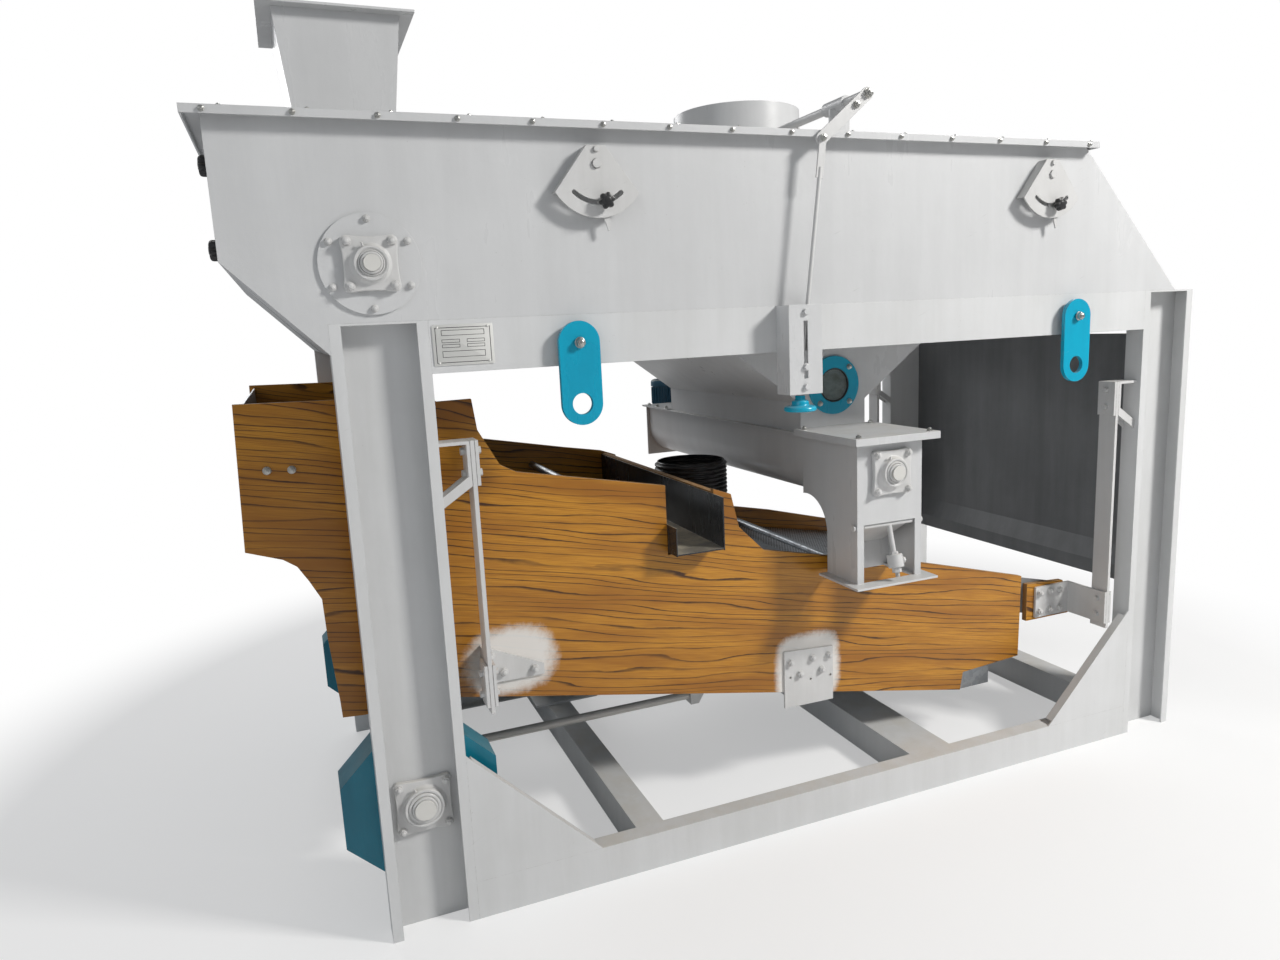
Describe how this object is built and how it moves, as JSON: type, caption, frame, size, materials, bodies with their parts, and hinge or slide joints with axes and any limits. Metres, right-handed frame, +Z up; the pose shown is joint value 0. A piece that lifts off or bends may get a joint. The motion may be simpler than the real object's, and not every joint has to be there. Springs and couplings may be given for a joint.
{
  "type": "grain pre-cleaner",
  "caption": "Air and sieve grain pre-cleaner: overhanging upper casing on a channel frame, hung shaking sieve boat, settling hopper with auger, inlet hopper and round air outlet.",
  "frame": {"origin": "centre of the machine's plan at floor level", "axes": "+X along the machine towards the grain's low end, +Y from the front with the levers to the rear, +Z up"},
  "size_m": [2.829, 1.723, 2.255],
  "materials": {
    "frame_paint": "satin",
    "casing_paint": "satin",
    "teal_paint": "gloss",
    "guard_paint": "satin",
    "motor_paint": "satin",
    "black_knob": "gloss",
    "machined_steel": "satin",
    "zinc_plate": "satin",
    "fitting_paint": "satin",
    "plate_aluminium": "brushed",
    "wood_panel": "satin",
    "galvanised": "matte",
    "dark_sheet": "matte",
    "clear_glass": "gloss",
    "black_rubber": "matte"
  },
  "bodies": {
    "machine": {"front_posts": "frame_paint", "rear_posts": "frame_paint", "top_rails": "frame_paint", "bottom_rails": "frame_paint", "cross_members": "frame_paint", "corner_gussets": "frame_paint", "casing_side_plates": "casing_paint", "casing_end_plates": "casing_paint", "casing_floor": "casing_paint", "casing_cover": "casing_paint", "casing_baffles": "casing_paint", "inlet_hopper": "casing_paint", "outlet_ring": "casing_paint", "feed_end_discs": "casing_paint", "flange_bearings": "fitting_paint", "gearmotors": "motor_paint", "hopper_slopes": "casing_paint", "hopper_end_plates": "casing_paint", "sight_ring": "teal_paint", "sight_glass": "clear_glass", "auger_trough": "casing_paint", "auger_head": "casing_paint", "auger_head_lid": "casing_paint", "link_guide": "casing_paint", "damper_quadrants": "fitting_paint", "name_plate": "plate_aluminium", "end_panel": "dark_sheet", "hanger_brackets": "fitting_paint", "drive_guards": "guard_paint", "drive_motor": "motor_paint", "drive_belt": "black_rubber", "bolts": "zinc_plate"},
    "door": {"inspection_door": "casing_paint"},
    "upper_knob": {"door_knob_upper": "black_knob"},
    "lower_knob": {"door_knob_lower": "black_knob"},
    "feed_roller": {"feed_roller": "machined_steel"},
    "auger": {"auger_shaft": "machined_steel", "auger_flight": "machined_steel"},
    "flap": {"discharge_flap": "fitting_paint"},
    "valve": {"outlet_valve": "fitting_paint"},
    "link": {"valve_link": "fitting_paint"},
    "handwheel": {"handwheel": "teal_paint"},
    "inlet_damper": {"inlet_damper": "fitting_paint"},
    "outlet_damper": {"outlet_damper": "fitting_paint"},
    "inlet_knob": {"inlet_damper_knob": "black_knob"},
    "outlet_knob": {"outlet_damper_knob": "black_knob"},
    "left_lug": {"left_lifting_lug": "teal_paint"},
    "right_lug": {"right_lifting_lug": "teal_paint"},
    "boat": {"boat_side_panels": "wood_panel", "boat_pan": "galvanised", "screen_decks": "galvanised", "boat_brackets": "fitting_paint", "side_chute": "dark_sheet", "end_chute": "dark_sheet", "suction_sleeve": "black_rubber", "connecting_rods": "machined_steel"},
    "left_hangers": {"left_hangers": "fitting_paint"},
    "right_hangers": {"right_hangers": "fitting_paint"},
    "drive": {"drive_shaft": "machined_steel"},
    "motor_rotor": {"motor_pulley": "machined_steel"}
  },
  "joints": [
    {"name": "door_swing", "type": "hinge", "parent": "machine", "child": "door", "pos_m": [-1.3875, 0.2865, 1.735], "axis": [0, 0, -1], "range_deg": [0, 110]},
    {"name": "upper_knob_turn", "type": "hinge", "parent": "door", "child": "upper_knob", "pos_m": [-1.3845, -0.4885, 1.833], "axis": [1, 0, 0], "continuous": true},
    {"name": "lower_knob_turn", "type": "hinge", "parent": "door", "child": "lower_knob", "pos_m": [-1.3845, -0.4885, 1.647], "axis": [1, 0, 0], "continuous": true},
    {"name": "feed_roller_spin", "type": "hinge", "parent": "machine", "child": "feed_roller", "pos_m": [-1.0875, -0.1385, 1.587], "axis": [0, 1, 0], "continuous": true},
    {"name": "auger_spin", "type": "hinge", "parent": "machine", "child": "auger", "pos_m": [0.2525, -0.1385, 1], "axis": [0, 1, 0], "continuous": true},
    {"name": "flap_swing", "type": "hinge", "parent": "machine", "child": "flap", "pos_m": [0.2525, -0.7765, 0.848], "axis": [-1, 0, 0], "range_deg": [0, 40]},
    {"name": "valve_turn", "type": "hinge", "parent": "machine", "child": "valve", "pos_m": [0.1465, -0.4885, 1.978], "axis": [0, 1, 0], "range_deg": [-20, 20]},
    {"name": "link_swing", "type": "hinge", "parent": "valve", "child": "link", "pos_m": [0.01127, -0.8374, 1.86692], "axis": [0, 1, 0], "range_deg": [-25, 25]},
    {"name": "handwheel_turn", "type": "hinge", "parent": "machine", "child": "handwheel", "pos_m": [-0.05353, -0.8195, 1.214], "axis": [0, 0, 1], "continuous": true},
    {"name": "inlet_damper_turn", "type": "hinge", "parent": "machine", "child": "inlet_damper", "pos_m": [-0.5775, -0.1385, 1.797], "axis": [0, 1, 0], "range_deg": [-30, 50]},
    {"name": "outlet_damper_turn", "type": "hinge", "parent": "machine", "child": "outlet_damper", "pos_m": [0.7805, -0.1385, 1.797], "axis": [0, 1, 0], "range_deg": [-30, 50]},
    {"name": "inlet_knob_turn", "type": "hinge", "parent": "inlet_damper", "child": "inlet_knob", "pos_m": [-0.56291, -0.8285, 1.71428], "axis": [0, 1, 0], "continuous": true},
    {"name": "outlet_knob_turn", "type": "hinge", "parent": "outlet_damper", "child": "outlet_knob", "pos_m": [0.79509, -0.8285, 1.71428], "axis": [0, 1, 0], "continuous": true},
    {"name": "left_lug_swing", "type": "hinge", "parent": "machine", "child": "left_lug", "pos_m": [-0.6405, -0.8095, 1.4], "axis": [0, 1, 0], "range_deg": [-75, 75]},
    {"name": "right_lug_swing", "type": "hinge", "parent": "machine", "child": "right_lug", "pos_m": [0.9015, -0.8095, 1.4], "axis": [0, 1, 0], "range_deg": [-75, 75]},
    {"name": "boat_shake", "type": "slide", "parent": "machine", "child": "boat", "axis": [1, 0, 0], "range_m": [-0.006, 0.006]},
    {"name": "left_hanger_swing", "type": "hinge", "parent": "machine", "child": "left_hangers", "pos_m": [-0.8995, -0.1385, 1.137], "axis": [0, 1, 0], "range_deg": [-0.7, 0.7]},
    {"name": "right_hanger_swing", "type": "hinge", "parent": "machine", "child": "right_hangers", "pos_m": [1.1285, -0.1385, 1.137], "axis": [0, 1, 0], "range_deg": [-0.7, 0.7]},
    {"name": "drive_spin", "type": "hinge", "parent": "machine", "child": "drive", "pos_m": [-1.0805, -0.1385, 0.312], "axis": [0, 1, 0], "continuous": true},
    {"name": "motor_spin", "type": "hinge", "parent": "machine", "child": "motor_rotor", "pos_m": [-0.4655, 0.4615, 0.22], "axis": [0, 1, 0], "continuous": true}
  ],
  "couplings": [
    {"joint": "link_swing", "follows": "valve_turn", "ratio": -1.2149},
    {"joint": "left_hanger_swing", "follows": "boat_shake", "rad_per_m": -1.8282},
    {"joint": "right_hanger_swing", "follows": "boat_shake", "rad_per_m": -1.4621},
    {"joint": "motor_spin", "follows": "drive_spin", "ratio": 2.8}
  ]
}
